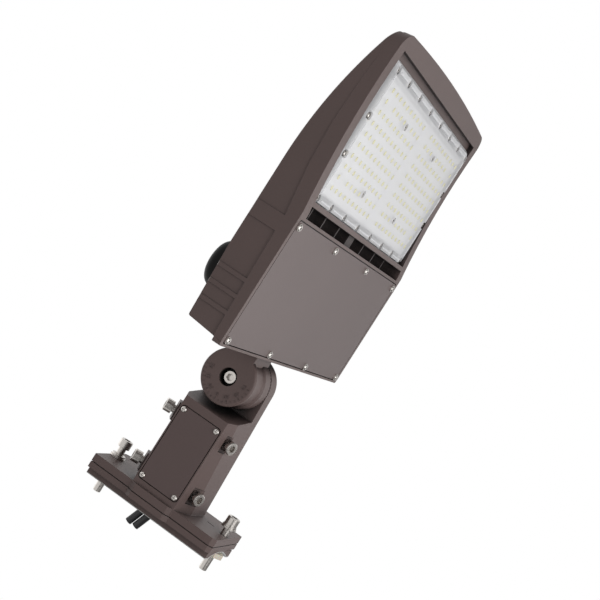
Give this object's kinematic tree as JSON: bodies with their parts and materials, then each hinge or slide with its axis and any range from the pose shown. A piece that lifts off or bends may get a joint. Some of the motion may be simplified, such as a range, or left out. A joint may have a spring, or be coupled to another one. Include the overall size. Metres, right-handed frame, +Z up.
{
  "type": "shoebox area light",
  "caption": "Slim flat LED area light head with a finned die-cast housing and lens panel, tilting on a dial knuckle arm that bolts to a round pole.",
  "frame": {"origin": "middle of the face that lies on the pole, midway between the two mounting bolts", "axes": "+X from the pole towards the tip of the head, +Y across the head away from the dial side, +Z up"},
  "size_m": [0.6431, 0.468, 0.2068],
  "materials": {
    "casting": "fine-textured dark bronze powder coat on die-cast aluminium",
    "cover_paint": "smooth satin dark bronze powder coat on sheet",
    "steel": "bright stainless steel",
    "black_rubber": "matte black rubber",
    "grey_rubber": "matte light grey silicone",
    "cable_jacket": "satin black cable jacket",
    "black_plastic": "satin black moulded plastic",
    "nylon": "natural nylon",
    "driver_case": "plain satin aluminium",
    "board_white": "white solder mask",
    "phosphor": "pale yellow phosphor",
    "lens_clear": "clear moulded lens panel, slightly frosted",
    "brass": "plain brass"
  },
  "bodies": {
    "arm": {"arm_body": "casting", "arm_cover": "cover_paint", "arm_cover_gasket": "black_rubber", "arm_cover_screws": "steel", "tenon_bolts": "steel", "mount_bolts": "steel", "flat_washers": "steel", "spring_washers": "steel", "retaining_nuts": "nylon", "pivot_bolt": "steel", "pivot_washer": "steel", "pivot_nut": "steel", "cable_bung": "black_rubber", "mains_cable": "cable_jacket", "dimming_cable": "cable_jacket", "pole_adaptor": "casting", "pole_gasket": "grey_rubber", "flange_gasket": "black_rubber"},
    "head": {"board_screws": "steel", "driver_cover": "cover_paint", "driver_cover_gasket": "black_rubber", "driver_cover_screws": "steel", "driver_screws": "steel", "housing": "casting", "knuckle_gasket": "black_rubber", "knuckle_head": "casting", "knuckle_screws": "steel", "led_board_far": "board_white", "led_board_near": "board_white", "led_chips": "phosphor", "led_driver": "driver_case", "lens_gasket": "grey_rubber", "lens_panel": "lens_clear", "lens_screws": "steel", "photocell_socket": "black_plastic", "socket_gasket": "black_rubber", "socket_screws": "steel", "surge_protector": "black_plastic", "terminal_block": "nylon"},
    "cap": {"shorting_cap": "black_plastic", "cap_blades": "brass"}
  },
  "joints": [
    {"name": "knuckle_tilt", "type": "hinge", "parent": "arm", "child": "head", "pos_m": [0.19, 0, 0], "axis": [0, -1, 0], "range_deg": [-90, 90]},
    {"name": "cap_twist", "type": "hinge", "parent": "head", "child": "cap", "pos_m": [0.293, 0, 0.0568], "axis": [0, 0, 1], "range_deg": [0, 20]}
  ]
}
